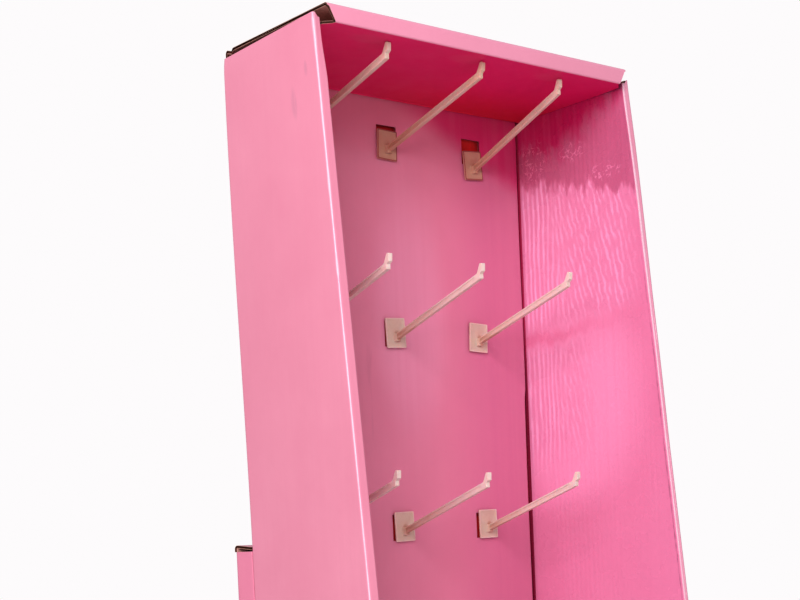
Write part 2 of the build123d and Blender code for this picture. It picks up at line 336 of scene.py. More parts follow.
def relief(shader, height, distance):
    """Fine relief of the surface, from a height in shares of a distance in metres."""
    bump = node_beside("ShaderNodeBump", height)
    fill(bump, {"Height": height, "Strength": 1.0, "Distance": distance})
    fill(shader, {"Normal": bump.outputs["Normal"]})


def printed_board(name, ink, deep_ink, gloss, coat=0.35, add_marks=None):
    """Varnished print on board: clouded ink, the faint shadow lines of the flutes, paper grain, scuffs,
    folds rubbed pale, a painted highlight where the folds' value is high on the walls, and painted shade
    lines where that value is less than nothing. add_marks puts further marks over the ink, some of them
    painted light and shade."""
    # The pale colour serves rubbed folds and the painted highlight on the walls' front folds; the dull line
    # colour is a painted shade.
    worn_and_painted_light, painted_shade_line_colour = (0.70, 0.45, 0.54), (0.34, 0.13, 0.20)
    pale = tuple(0.65 * channel + 0.35 * other for channel, other in zip(ink, worn_and_painted_light))
    dark_ink = tuple(channel * 0.55 for channel in deep_ink)
    flutes_along = (1, 1, 0.02)
    material, shader, place = finish_nodes(name)
    colour = ramp(noise(place, 7.0, 4.0), 0.30, 0.70, deep_ink, ink)
    if add_marks:
        colour = add_marks(place, colour)
    lines = noise(place, 150.0, 1.0, flutes_along)
    colour = tinted(colour, deep_ink, (lines, 0.35, 0.75, 0.0, 0.16))
    grain = noise(place, 1400.0, 2.0)
    colour = tinted(colour, pale, (grain, 0.45, 0.8, 0.0, 0.10))
    scuff_place = noise(place, 9.0, 2.0, (1, 1, 0.35))
    scuff_lines = noise(place, 120.0, 3.0, (1, 1, 0.12))
    scuffs = (scuff_place, 0.66, 0.76, 0.0, 1.0), (scuff_lines, 0.55, 0.72, 0.0, 0.16)
    colour = tinted(colour, dark_ink, *scuffs)
    wear_and_light_attribute = node_beside("ShaderNodeAttribute", place)
    wear_and_light_attribute.attribute_name = "wear_and_painted_light"
    frayed = spread_range(noise(place, 420.0, 4.0, (1, 1, 0.25)), 0.3, 0.7, -0.08, 0.08)
    ragged_wear_and_light = plus(wear_and_light_attribute.outputs["Fac"], frayed)
    colour = tinted(colour, worn_and_painted_light, (ragged_wear_and_light, 0.28, 0.76, 0.0, 1.0))
    colour = tinted(colour, painted_shade_line_colour, (ragged_wear_and_light, -0.42, -0.12, 0.7, 0.0))
    roughness = spread_range(noise(place, 30.0, 3.0), 0.3, 0.7, gloss - 0.05, gloss + 0.07)
    roughness = plus(roughness, spread_range(ragged_wear_and_light, 0.38, 0.66, 0.0, 0.25))
    fill(shader, {"Base Color": colour, "Roughness": roughness})
    shader.inputs["Specular IOR Level"].default_value = 0.5
    shader.inputs["Coat Weight"].default_value = coat
    shader.inputs["Coat Roughness"].default_value = 0.16
    skin = reckon("MINIMUM", plus(times(grain, 0.25), lines), 1.0)
    relief(shader, skin, 0.00012)
    return material


def bare_board(name, light, dark, scale, stretch):
    """Bare kraft paper: brown with darker fibres drawn out along the board."""
    material, shader, place = finish_nodes(name)
    fibres = noise(place, scale, 6.0, stretch, 0.7)
    colour = ramp(fibres, 0.32, 0.66, dark, light)
    colour = tinted(colour, dark, (noise(place, scale * 4, 2.0), 0.62, 0.75, 0.0, 0.45))
    fill(shader, {"Base Color": colour, "Roughness": spread_range(fibres, 0.3, 0.7, 0.77, 0.93)})
    shader.inputs["Specular IOR Level"].default_value = 0.25
    relief(shader, fibres, 0.00015)
    return material


def spot(across, up, at_across, at_up, half_wide, half_tall):
    """Squared distance from a spot, in half widths along one axis and half heights along the other."""
    total = 0.0
    for value, middle, half in ((across, at_across, half_wide), (up, at_up, half_tall)):
        off = over(minus(value, middle), half)
        total = plus(times(off, off), total)
    return total


def soft_spots(across, up, spots, inside, outside, strength):
    """Sum of soft spots, each given by its place and half sizes, with full strength up to one squared
    distance and none from another."""
    total = 0.0
    for given in spots:
        total = plus(spread_range(spot(across, up, *given), inside, outside, strength, 0.0), total)
    return total


def split_axes(place):
    """The three coordinates of a place."""
    axes = node_beside("ShaderNodeSeparateXYZ", place)
    fill(axes, {"Vector": place})
    return [axes.outputs[name] for name in "XYZ"]


def ceiling_painted_shade_and_reflections(place, colour):
    """Painted shade that is redder towards the rear right, painted light on the left, and faint painted
    reflections of the hook tips above them.
    """
    across, depth = split_axes(place)[:2]
    colour = tinted(colour, (0.93, 0.036, 0.240), (across, -0.17, -0.05, 0.7, 0.0))
    rear_right = (depth, 0.02, 0.13, 0.0, 1.0), (across, -0.10, 0.12, 0.2, 1.0)
    colour = tinted(colour, (0.75, 0.020, 0.070), *rear_right)
    tip_reflections = [(tip_across, -0.012, 0.020, 0.011) for tip_across in (-0.135, -0.012, 0.104)]
    return mixed(soft_spots(across, depth, tip_reflections, 0.2, 1.6, 0.5), colour, (0.80, 0.085, 0.235))


pink_print = printed_board("pink_print", (0.83, 0.370, 0.500), (0.79, 0.335, 0.460), 0.36)
# The ceiling's deep crimson print is a painted shade under the hollow top.
ceiling_painted_shade_inks = (0.83, 0.012, 0.205), (0.78, 0.009, 0.180)
ceiling_print_painted_shade = printed_board("pink_print_of_the_ceiling_with_painted_shade", *ceiling_painted_shade_inks, 0.45, 0.0, ceiling_painted_shade_and_reflections)
along, even = (1, 1, 0.12), (1, 1, 1)
kraft_liner = bare_board("kraft_inner_liner", (0.80, 0.47, 0.43), (0.60, 0.32, 0.29), 260.0, along)
# The back's plain liner, seen through the windows, is painted deep red: a painted shade lit by red light off
# the print.
back_liner_painted_red_shade = bare_board("kraft_liner_of_the_back_painted_red_shade", (0.84, 0.046, 0.052), (0.71, 0.034, 0.038), 260.0, along)
liner_ends = bare_board("cut_liner_ends", (0.60, 0.38, 0.31), (0.34, 0.16, 0.12), 700.0, even)
# The cells' dark brown is partly the fluting's own colour and partly painted shade in the deep cells.
cell_paper_with_painted_shade = bare_board("fluting_in_the_cells_with_painted_shade", (0.12, 0.030, 0.018), (0.05, 0.010, 0.006), 500.0, even)
board_finish = [pink_print, kraft_liner, liner_ends, cell_paper_with_painted_shade]


def half_room(y):
    """Half the space between the side walls' inner faces at a depth."""
    return back_half + tan(wall_flare) * (back_y - y) - wall_thickness / cos(wall_flare)


def fold_marks(run, travel, strengths, width):
    """Rubbing that falls off on each side of each fold as a bell curve of the distance from its middle.
    On the walls' front folds it is mostly a painted highlight.
    """
    wear_and_painted_light = np.zeros(len(travel))
    for number, strength in strengths.items():
        middle = travel[run == number + 0.5].mean()
        wear_and_painted_light = np.maximum(wear_and_painted_light, strength * np.exp(-(((travel - middle) / width) ** 2)))
    return wear_and_painted_light


def plan_looks(look):
    """Ways that the faces of an upright sheet look, from those along its plan."""
    return np.concatenate([look, np.zeros((len(look), 1))], axis=1)[None]


def section_looks(look):
    """Ways that the faces of a sheet across the stand look, from those along its section."""
    return np.concatenate([np.zeros((len(look), 1)), look], axis=1)[:, None]


strip_line, strip_plain, strip_look, strip_run = folded_line(
    [
        (back_y, wall_top_z),
        (back_y, top_z),
        (fascia_y, top_z),
        (fascia_y, top_z - fascia_drop),
        (panel_y, wall_top_z - ceiling_rear_drop),
        (panel_y, wall_top_z),
    ],
    [fold_radius, fold_radius, fascia_edge_radius, fold_radius],
    0.0025,
)
strip_y, strip_z = strip_line[:, 0], strip_line[:, 1]
wall_front_y = back_y - wall_width_top * cos(wall_flare) + board
fold_half = back_half - fascia_mitre
past_crease = back_y - board - strip_y
nicked = np.where(past_crease > 0, np.clip(1 - past_crease / (2 * corner_nick), 0, 1), 0)
strip_half = np.select(
    [strip_run < 1, strip_run < 2, strip_run <= 2.5, strip_run < 3.5],
    [
        np.full_like(strip_y, back_half),
        back_half - corner_nick * nicked,
        back_half - fascia_mitre * np.clip((top_z - strip_z) / fascia_drop, 0, 1),
        np.where(
            strip_y < wall_front_y,
            np.interp(strip_y, [fascia_y + board, wall_front_y], [fold_half, back_half]),
            np.minimum(half_room(strip_y) - ceiling_gap, back_half),
        ),
    ],
    half_room(panel_y) - ceiling_gap,
)
across_share = np.linspace(-1, 1, 97)
sag_reach, sag_depth = 0.16, 0.0012
ceiling_sag = np.where(strip_run > 3, np.clip((strip_y - fascia_y) / sag_reach, 0, 1), 0) * sag_depth


def strip_grid(line):
    """The strip's section carried across the stand, as wide at each point as the blank is cut there."""
    sag = ceiling_sag[:, None] * (1 - across_share[None] ** 2)
    across = strip_half[:, None] * across_share[None]
    return np.stack([across, np.broadcast_to(line[:, :1], sag.shape), line[:, 1:] - sag], axis=-1)


strip_travel = run_along(strip_line)
strip_wear = fold_marks(strip_run, strip_travel, {0: 0.30, 1: 0.20, 2: 0.10}, 0.0016)
hollow_top = sheet(
    strip_grid(strip_line),
    strip_grid(strip_plain),
    section_looks(strip_look),
    {"first_column": cut_drift, "last_column": cut_drift, "last_row": flute_pitch},
    strip_wear[:, None],
)
cells_across = len(across_share) - 1
ceiling_start = np.argmax(strip_run > 2.5)
on_ceiling = np.repeat(np.arange(len(strip_run) - 1) >= ceiling_start, cells_across)
# The ceiling, from the fascia's lower fold back, takes the print with painted shade.
hollow_top[0]["material"] = np.where(on_ceiling, SECOND_PRINT, PRINTED)
# The plain face of the strip's short upright run at the back takes the dark cell colour, a painted shade.
hollow_top[1]["material"] = np.where(np.repeat(strip_run[:-1] < 0.5, cells_across), CELL, PLAIN)


def crease_spring(height):
    """How far the left rear crease stands out at a height, which it does near the top and less than nothing
    lower down: one wave of a sine, straight below it."""
    reach, middle, length = 0.0045, 1.10, 1.15
    wave = reach * np.sin(2 * pi * (height - middle) / length)
    return np.where(height > middle - length / 2, wave, 0) * np.clip((1.43 - height) / 0.04, 0, 1)


def near_left(across):
    """Share of the spring that a place across the stand gets: none at first, and all beside the crease."""
    start, reach = 0.14, 0.056
    return np.clip((-across - start) / reach, 0, 1)


fine_from = 0.8
coarse_rows, fine_rows = np.linspace(0, fine_from, 41), np.linspace(fine_from, wall_top_z, 87)
wall_rows = np.concatenate([coarse_rows[:-1], fine_rows])
back_columns = across_share * (back_half - crease_run)
back_x, back_z = np.meshgrid(back_columns, wall_rows)
back_printed = np.stack([back_x, np.full_like(back_x, back_y), back_z], axis=-1)
back_printed[..., 0] -= crease_spring(back_z) * near_left(back_x)
back_plain = back_printed - [0, board, 0]
back_sheet = sheet(back_printed, back_plain, np.array([0.0, 1.0, 0.0]), {"first_row": flute_pitch})
# The back's plain face takes the liner with painted red shade.
back_sheet[1]["material"] = np.full(len(back_sheet[1]["quads"]), SECOND_PLAIN)
back_finish = board_finish + [ceiling_print_painted_shade, back_liner_painted_red_shade]
body_back_and_top = board_piece("body_back_and_top", hollow_top + back_sheet, back_finish)
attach(body_back_and_top, "root")
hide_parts("body_wrap")

# Body, side walls.
# Each wall is the rest of the body's blank: it runs forward from the rear crease, folds twice round the
# front edge and comes back inside, so it is double with a hollow between. The inner leaf shows the
# flutes through its print as shallow upright waves. Its front folds are rubbed a little and carry a
# painted highlight, with painted shade lines beside it on the right wall.
wall_fold_radius = 0.002
inner_leaf_gap = 0.0034
inner_leaf_drop = 0.004
leaf_step = 0.0011
wave_height = 0.00011
leaf_bow = 0.0008
forward = np.array([sin(wall_flare), -cos(wall_flare)])
sideways = np.array([cos(wall_flare), sin(wall_flare)])
rear_crease = np.array([back_half, back_y])
inner_leaf = rear_crease - sideways * wall_thickness


def wall_grid(line, width, lean):
    """The wall's plan at its top, stretched forward at each height until its front edge is where it is cut.

    The front folds move with the front edge, the rear crease stays, and the flat leaves between stretch.
    The inner leaf ends a little lower than the outer one, and the front fold slopes between them. lean
    gives, at some heights, how far outwards the front of the outer leaf and of the inner leaf stand."""
    ahead = (line - rear_crease) @ forward
    share = np.clip((ahead - 0.0045) / (wall_width_top - 0.009), 0, 1)
    moved = line[None] + share[None, :, None] * (width - wall_width_top)[:, None, None] * forward
    inward = np.clip(((rear_crease - line) @ sideways - board) / (wall_thickness - 2 * board), 0, 1)
    outer_off, inner_off = (np.interp(wall_rows, lean[0], offs)[:, None] / 1000 for offs in lean[1:])
    off = (outer_off * (1 - inward) + inner_off * inward) * np.clip(ahead / wall_width_top, 0, 1)
    moved = moved + off[..., None] * sideways
    top = 1 - inner_leaf_drop / wall_top_z * inward * (ahead > 0.001)
    height = wall_rows[:, None] * top[None]
    return np.concatenate([moved, height[..., None]], axis=-1)


def flute_waves(ahead, height):
    """Height of the flute waves: a cosine across the flutes that wanders a little going up, and that
    fades and swells in slow patches."""
    wander = 0.0011 * np.sin(height * 9.0 + 3 * np.sin(height * 4.1))
    wander = wander + 0.0006 * np.sin(height * 31 + ahead * 40)
    patches = 0.55 + 0.30 * np.sin(ahead * 37 + height * 5.3) * np.sin(height * 7.9 + 1.3)
    patches = patches + 0.15 * np.sin(height * 23 + ahead * 90)
    return np.cos(2 * pi * (ahead + wander) / flute_pitch) * patches


def side_wall(name, side, finishes, fold_wear_and_highlight, painted_shade_lines, breadth, lean, sprung):
    """One double wall. side is 1 for the right one and -1 for the left one, which is its mirror image.

    The fold marks give each fold's rubbing and painted highlight, breadth their breadth in mm by height.
    The dull lines are lines of painted shade, each a fold number, offset, strength and breadth. sprung is
    the share of the crease's spring by which its outer leaf stands off at the rear."""
    line, plain, look, run = folded_line(
        [
            inner_leaf + forward * inner_leaf_gap,
            inner_leaf + forward * wall_width_top,
            rear_crease + forward * wall_width_top,
            rear_crease,
            rear_crease - [crease_run, 0],
        ],
        [wall_fold_radius, wall_fold_radius, fold_radius],
        leaf_step,
    )
    width = np.interp(wall_rows, [0, wall_top_z], [wall_width_bottom, wall_width_top])
    printed, back = wall_grid(line, width, lean), wall_grid(plain, width, lean)
    ahead = (printed[..., :2] - rear_crease) @ forward
    width = width[:, None]
    height = wall_rows[:, None]
    forth = np.clip(ahead / width, 0, 1)
    off = sprung * crease_spring(height) * (1 - forth) * (run >= 1.5)
    printed[..., 0] += off
    back[..., 0] += off
    looks = plan_looks(look)
    leaf = np.clip((ahead - 0.006) / 0.004, 0, 1) * np.clip((width - 0.006 - ahead) / 0.006, 0, 1)
    inner_waves = np.where(run[None] < 0.5, leaf * wave_height * flute_waves(ahead, height), 0)
    bow = leaf_bow * np.sin(pi * forth) * np.sin(pi * height / wall_top_z)
    outer_waves = 0.3 * wave_height * flute_waves(ahead, height + 0.7) - bow
    outer_waves = np.where((run[None] > 1.5) & (run[None] < 2.5), leaf, 0) * outer_waves
    printed = printed + looks * (inner_waves + outer_waves)[..., None]
    travel = run_along(line)
    # Breadth of each fold's pale band, a painted highlight on the front folds, less the painted shade lines.
    breadths = np.interp(wall_rows, *breadth) / 1000
    breadths = breadths * (1 + 0.10 * np.sin(wall_rows * 83) + 0.08 * np.sin(wall_rows * 31 + 1))
    worn_and_painted_light = np.stack([fold_marks(run, travel, fold_wear_and_highlight, value) for value in breadths])
    for number, offset, strength, spread in painted_shade_lines:
        middle = travel[run == number + 0.5].mean() + offset
        worn_and_painted_light = worn_and_painted_light - strength * np.exp(-(((travel - middle) / spread) ** 2))
    printed[..., 0] *= side
    back[..., 0] *= side
    cuts = {"first_row": flute_pitch, "last_row": flute_pitch, "first_column": cut_drift}
    wall = sheet(printed, back, looks * [side, 1, 1], cuts, worn_and_painted_light)
    inner = np.tile(run[:-1] < 0.5, len(wall_rows) - 1)
    wall[0]["material"] = np.where(inner, SECOND_PRINT, PRINTED)
    piece = board_piece(name, wall, finishes)
    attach(piece, "root")
    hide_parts("body_wrap")


def slanted(first, second, slope):
    """A value plus another times a slope, which is constant along slanting lines of the wall."""
    return plus(first, times(second, slope))


def flute_lines(across, wander, reach, pitch):
    """A sine of a distance across the flutes that wanders by a share of a reach: 1 on crowns, -1 between."""
    return reckon("SINE", times(slanted(across, wander, reach), 2 * pi / pitch))


def off_by(value, middle):
    """How far a value is from a middle, either way."""
    return reckon("ABSOLUTE", minus(value, middle))


def painted_sheen_and_shade(place, colour):
    """Painted sheen and shade on the print: deep painted shade under the top, and below it pale streaks, a
    painted highlight where the varnish would catch light on the flutes, in a broad painted glow.

    The painted shade is deepest in the upper rear corner, behind a soft slanting edge. The streaks are a
    sine of the depth at the flutes' pitch, upright beside the rear corner and slanting and broken towards
    the front. They lie in two bands of height with a dull painted smear between them, below a ragged edge
    with a few squiggles of painted reflection above it. Behind the hook panel's edge the wall is painted
    dark, a painted shade that is deepest lower down."""
    depth, height = split_axes(place)[1:]
    glow = spot(depth, height, 0.070, 1.060, 0.110, 0.120)
    colour = tinted(colour, (0.86, 0.375, 0.580), (glow, 0.2, 1.4, 0.85, 0.0))
    ragged = spread_range(noise(place, 95.0, 4.0, (1, 1, 0.35)), 0.25, 0.75, -0.012, 0.012)
    top_edge = plus(slanted(height, depth, -0.2), ragged)
    low_edge = slanted(slanted(height, depth, 0.1), ragged, 0.5)
    upright = flute_lines(depth, noise(place, 30.0, 3.0, (1, 1, 0.45)), 0.012, 0.0068)
    breaks = noise(place, 110.0, 2.0, (1, 1, 0.25))
    upright = overlap((upright, -0.3, 0.8, 0.0, 1.0), (breaks, 0.3, 0.6, 0.35, 1.0))
    strokes = flute_lines(slanted(depth, height, -0.25), noise(place, 60.0, 3.0), 0.011, 0.0070)
    breaks = noise(place, 130.0, 2.0, (1, 1, 0.4))
    strokes = overlap((strokes, -0.2, 0.9, 0.0, 0.8), (breaks, 0.36, 0.60, 0.1, 1.0))
    slanting = spread_range(depth, 0.050, 0.100, 1.0, 0.0)
    pattern = plus(times(upright, minus(1.0, slanting)), times(strokes, slanting))
    upper = (top_edge, 1.285, 1.295, 1.0, 0.0), (low_edge, 1.148, 1.172, 0.0, 1.0)
    upper = overlap(*upper, (depth, -0.050, 0.000, 0.0, 1.0))
    lower = (low_edge, 1.126, 1.140, 0.9, 0.0), (height, 0.965, 1.030, 0.0, 1.0)
    lower = overlap(*lower, (depth, 0.015, 0.075, 0.0, 1.0))
    bands = plus(upper, lower)
    colour = mixed(bands, colour, (0.77, 0.295, 0.480))
    colour = mixed(times(bands, pattern), colour, (0.90, 0.46, 0.68))
    smear = (off_by(low_edge, 1.1455), 0.001, 0.012, 0.5, 0.0), (depth, -0.03, 0.11, 0.1, 1.0)
    colour = tinted(colour, (0.70, 0.16, 0.32), *smear)
    colour = tinted(colour, (0.57, 0.168, 0.300), (top_edge, 1.281, 1.299, 0.0, 1.0))
    deep = (slanted(top_edge, depth, 0.8), 1.364, 1.402, 0.0, 1.0), (top_edge, 1.316, 1.336, 0.15, 1.0)
    colour = tinted(colour, (0.60, 0.016, 0.178), *deep)
    curls, gaps = off_by(noise(place, 150.0, 1.5), 0.5), noise(place, 210.0, 1.0)
    squiggles = overlap((curls, 0.015, 0.045, 0.75, 0.0), (gaps, 0.45, 0.55, 0.0, 1.0))
    places = (0.108, 1.338, 0.020, 0.026), (0.050, 1.338, 0.020, 0.012), (0.006, 1.308, 0.026, 0.010)
    squiggles = times(squiggles, soft_spots(depth, height, places, 0.3, 1.3, 1.0))
    colour = mixed(squiggles, colour, (0.84, 0.34, 0.53))
    behind = mixed(spread_range(height, 1.06, 1.18, 0.0, 1.0), (0.26, 0.008, 0.050), (0.46, 0.018, 0.100))
    return tinted(colour, behind, (depth, 0.1290, 0.1302, 0.0, 1.0))


def rubbed(place, colour):
    """Two faint grey rub marks on the outer leaf near its upper front corner."""
    depth, height = split_axes(place)[1:]
    lean = 0.12
    marks = (0.0113 - lean * 1.3245, 1.3245, 0.0045, 0.014), (-0.0109 - lean * 1.352, 1.352, 0.0028, 0.007)
    marks = soft_spots(slanted(depth, height, -lean), height, marks, 0.0, 1.8, 0.24)
    broken = spread_range(noise(place, 260.0, 3.0, (1, 1, 0.3)), 0.35, 0.6, 0.5, 1.0)
    return mixed(times(marks, broken), colour, (0.40, 0.20, 0.28))


rose, deep_rose = (0.775, 0.292, 0.468), (0.740, 0.262, 0.434)
outer_inks = (0.775, 0.320, 0.434), (0.730, 0.280, 0.392)
# The right inner leaf's print carries painted sheen, painted highlight streaks and painted shade.
print_with_painted_sheen_and_shade = printed_board("pink_print_of_the_right_inner_leaf", rose, deep_rose, 0.26, 0.5, painted_sheen_and_shade)
inside_print = printed_board("pink_print_of_the_left_inner_leaf", rose, deep_rose, 0.26, 0.5)
rubbed_print = printed_board("pink_print_of_the_left_outer_leaf", *outer_inks, 0.36, 0.35, rubbed)
# Right wall: the inner front fold carries a painted highlight, and painted shade lines run beside it and
# along the outer fold.
side_wall(
    "body_right_wall",
    1,
    board_finish + [print_with_painted_sheen_and_shade],
    {0: 0.74, 1: 0.10, 2: 0.20},
    [(0, -0.0032, 0.40, 0.0010), (1, 0.0010, 0.42, 0.0012)],
    ([0, 1.08, 1.16, 1.25, 1.33, 1.39], [1.5, 1.5, 2.0, 2.7, 2.3, 2.0]),
    (
        [0.50, 0.85, 0.95, 1.005, 1.06, 1.113, 1.167, 1.22, 1.275, 1.33, 1.385],
        [0, 0.6, 0.4, 0.1, 0.8, 1.2, 1.0, 1.4, 1.7, 1.6, 0],
        [0, 3.4, 3.2, 2.9, 3.6, 4.0, 3.5, 3.1, 3.3, 2.0, 0],
    ),
    0,
)
# Left wall: the outer front fold carries a painted highlight.
side_wall(
    "body_left_wall",
    -1,
    [rubbed_print] + board_finish[1:] + [inside_print],
    {0: 0.10, 1: 0.78, 2: 0.20},
    [],
    (
        [0.90, 1.140, 1.150, 1.157, 1.168, 1.176, 1.230, 1.237, 1.244, 1.252, 1.317, 1.355, 1.390],
        [1.1, 1.2, 0.4, 2.2, 2.1, 1.2, 1.2, 2.1, 2.1, 1.3, 1.4, 1.8, 2.9],
    ),
    ([0.55, 0.75, 1.345, 1.378], [0, 0, 0, 0], [0, -2.4, -2.4, 0]),
    1,
)

# Hook panel.
# A separate printed sheet stands in front of the back between the walls. Its side edges are hemmed
# back on themselves, so it stands one board clear of the back, and it has a die-cut window for each hook.
panel_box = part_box("hook_panel")
panel_half = panel_box[1].x
panel_top = panel_box[1].z
panel_rear_y = panel_box[1].y
hem_width = 0.042
hem_radius = 0.0029
window_width = 0.0268
window_height = 0.028
column_pitch = 0.1215
row_pitch = 0.210
column_shift = -0.004
first_window_z = wall_top_z - 0.0415 - window_height / 2
window_xs = column_shift + np.array([-1, 0, 1]) * column_pitch
window_zs = first_window_z - np.arange(5) * row_pitch


def snapped(values, marks):
    """The values with the nearest one moved onto each mark, so that a grid line runs along each cut."""
    values = np.array(values)
    for mark in marks:
        values[np.argmin(np.abs(values - mark))] = mark
    return values


panel_line, panel_plain, panel_look, panel_run = folded_line(
    [
        (hem_width - panel_half, panel_rear_y),
        (-panel_half, panel_rear_y),
        (-panel_half, panel_y),
        (panel_half, panel_y),
        (panel_half, panel_rear_y),
        (panel_half - hem_width, panel_rear_y),
    ],
    [hem_radius] * 4,
    0.002,
)
window_sides = np.concatenate([window_xs - window_width / 2, window_xs + window_width / 2])
window_ends = np.concatenate([window_zs - window_height / 2, window_zs + window_height / 2])
front_run = panel_run == 2
for line in (panel_line, panel_plain):
    line[front_run, 0] = snapped(line[front_run, 0], window_sides)
panel_rows = snapped(np.linspace(0, panel_top, 131), window_ends)


def panel_grid(line):
    """The panel's plan carried up its height."""
    flat = np.broadcast_to(line[None], (len(panel_rows), len(line), 2))
    return np.concatenate([flat, np.broadcast_to(panel_rows[:, None, None], flat.shape[:2] + (1,))], axis=-1)


def in_window(values, middles, half):
    """Which values lie within half a window's size of the middle of one."""
    return (np.abs(values[:, None] - middles[None]) < half).any(axis=1)


panel_printed, panel_back = panel_grid(panel_line), panel_grid(panel_plain)
edge_shift = np.where(panel_rows < 1.0765, 0.0018, 0.0002) + 0.0004 * np.sin(panel_rows * 21)
for grid in (panel_printed, panel_back):
    near_edge = np.clip((grid[..., 0] - (panel_half - 0.02)) / 0.015, 0, 1)
    grid[..., 0] -= edge_shift[:, None] * near_edge
panel_wave = 0.00004 * flute_waves(panel_line[None, :, 0] + 0.3, panel_rows[:, None]) * front_run[None]
cell_x = (panel_line[:-1, 0] + panel_line[1:, 0]) / 2
cell_z = (panel_rows[:-1] + panel_rows[1:]) / 2
in_columns = in_window(cell_x, window_xs, window_width / 2) & front_run[:-1] & front_run[1:]
in_rows = in_window(cell_z, window_zs, window_height / 2)
panel_kept = ~(in_rows[:, None] & in_columns[None])
on_columns = in_window(panel_line[:, 0], window_xs, window_width / 2 + 1e-5)
on_rows = in_window(panel_rows, window_zs, window_height / 2 + 1e-5)
panel_wave = np.where(on_rows[:, None] & on_columns[None], 0, panel_wave)
panel_wear = fold_marks(panel_run, run_along(panel_line), {1: 0.4, 2: 0.4}, 0.001)
cut_all_round = {"first_row": flute_pitch, "last_row": flute_pitch}
cut_all_round.update({"first_column": cut_drift, "last_column": cut_drift})
panel_parts = sheet(
    panel_printed + plan_looks(panel_look) * panel_wave[..., None],
    panel_back,
    plan_looks(panel_look),
    cut_all_round,
    panel_wear[None],
    kept=panel_kept,
)


def window_cut(x, z):
    """The four cut edges of one window, across the flutes above and below and along them at the sides."""
    made = []
    half = np.array([window_width, window_height]) / 2
    share = np.linspace(-1, 1, 12)[:, None]
    ways = np.array([(1, 0), (-1, 0), (0, 1), (0, -1)])
    for way, pitch in zip(ways, (cut_drift, cut_drift, flute_pitch, flute_pitch)):
        edge = np.array([x, z]) + way * half + share * way[::-1] * half
        front = np.stack([edge[:, 0], np.full(len(share), panel_y), edge[:, 1]], axis=1)
        into_window = np.broadcast_to([-way[0], 0.0, -way[1]], front.shape)
        made += cut_edge(front, front + [0, board, 0], into_window, pitch)
    return made


for window_z in window_zs:
    for window_x in window_xs:
        panel_parts += window_cut(window_x, window_z)


def panel_painted_shade_and_light(place, colour):
    """Slight painted shade towards the right edge, a patch of painted light in the upper middle, and deep
    painted shade in the upper right corner, above an edge that slopes down to the right."""
    across, height = split_axes(place)[::2]
    colour = tinted(colour, (0.685, 0.218, 0.366), (across, 0.05, 0.15, 0.0, 1.0))
    pale = spot(across, height, 0.020, 1.160, 0.050, 0.130)
    colour = tinted(colour, (0.83, 0.375, 0.530), (pale, 0.0, 1.6, 0.65, 0.0))
    corner = (slanted(height, across, 0.45), 1.376, 1.410, 0.0, 1.0), (across, -0.03, 0.11, 0.3, 1.0)
    return tinted(colour, (0.70, 0.048, 0.225), *corner)


# The windows' cut edges, and the panel's other cut cells, are painted lighter and red: painted red light
# bounced into the windows.
window_edges_painted_red_light = bare_board("fluting_in_the_windows_painted_red_light", (0.66, 0.050, 0.110), (0.46, 0.030, 0.070), 500.0, even)
panel_inks = (0.80, 0.315, 0.448), (0.75, 0.272, 0.398)
# The hook panel's print carries painted shade and painted light.
panel_print_painted_shade_and_light = printed_board("pink_print_of_the_hook_panel_with_painted_shade_and_light", *panel_inks, 0.34, 0.35, panel_painted_shade_and_light)
hook_panel = board_piece("hook_panel_sheet", panel_parts, [panel_print_painted_shade_and_light] + board_finish[1:3] + [window_edges_painted_red_light])
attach(hook_panel, "root")
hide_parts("hook_panel")

# Rear brace.
# A shallow channel of the same board, folded from one sheet and glued behind the back to stiffen it.
# Its rear panel ends in a flap that folds forward and closes the channel on top. The flap has sprung up
# a little, so its cut edge shows with a dark gap below.
brace_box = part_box("rear_brace")
brace_half = brace_box[1].x
brace_rear_y = brace_box[1].y
brace_top = brace_box[1].z
brace_flange = 0.045
channel_top = brace_top - fold_radius
channel_line, channel_plain, channel_look, channel_run = folded_line(
    [
        (brace_half - brace_flange, back_y),
        (brace_half, back_y),
        (brace_half, brace_rear_y),
        (-brace_half, brace_rear_y),
        (-brace_half, back_y),
        (brace_flange - brace_half, back_y),
    ],
    [0.001, fold_radius, fold_radius, 0.001],
    0.006,
)
channel_rows = np.linspace(0, channel_top, 92)


def drawn_in(across, depth, height):
    """How far the brace's left side is drawn in with the body's crease, most where it is glued to it."""
    ahead = np.clip((brace_rear_y - depth) / (brace_rear_y - back_y), 0, 1)
    return -crease_spring(height) * near_left(across) * ahead


def channel_grid(line):
    """The brace's plan carried up to the fold of its lid."""
    height = np.broadcast_to(channel_rows[:, None], (len(channel_rows), len(line)))
    across, depth = (np.broadcast_to(line[None, :, k], height.shape) for k in (0, 1))
    return np.stack([across + drawn_in(across, depth, height), depth, height], axis=-1)


channel_wear = fold_marks(channel_run, run_along(channel_line), {1: 0.42, 2: 0.42}, 0.0014)
brace_parts = sheet(
    channel_grid(channel_line),
    channel_grid(channel_plain),
    plan_looks(channel_look),
    cut_all_round,
    channel_wear[None],
)
raised_rear, raised_front = 0.0034, 0.0008
lid_line, lid_plain, lid_look, lid_run = folded_line(
    [
        (brace_rear_y, channel_top),
        (brace_rear_y, brace_top + raised_rear),
        (back_y + ceiling_gap, brace_top + raised_front),
    ],
    [fold_radius],
    0.003,
)
lid_share = np.linspace(-1, 1, 61)


def lid_grid(line):
    """The lid's section carried across the brace."""
    across = np.broadcast_to(lid_share[None] * brace_half, (len(line), len(lid_share)))
    depth, height = (np.broadcast_to(line[:, None, k], across.shape) for k in (0, 1))
    return np.stack([across + drawn_in(across, depth, height), depth, height], axis=-1)


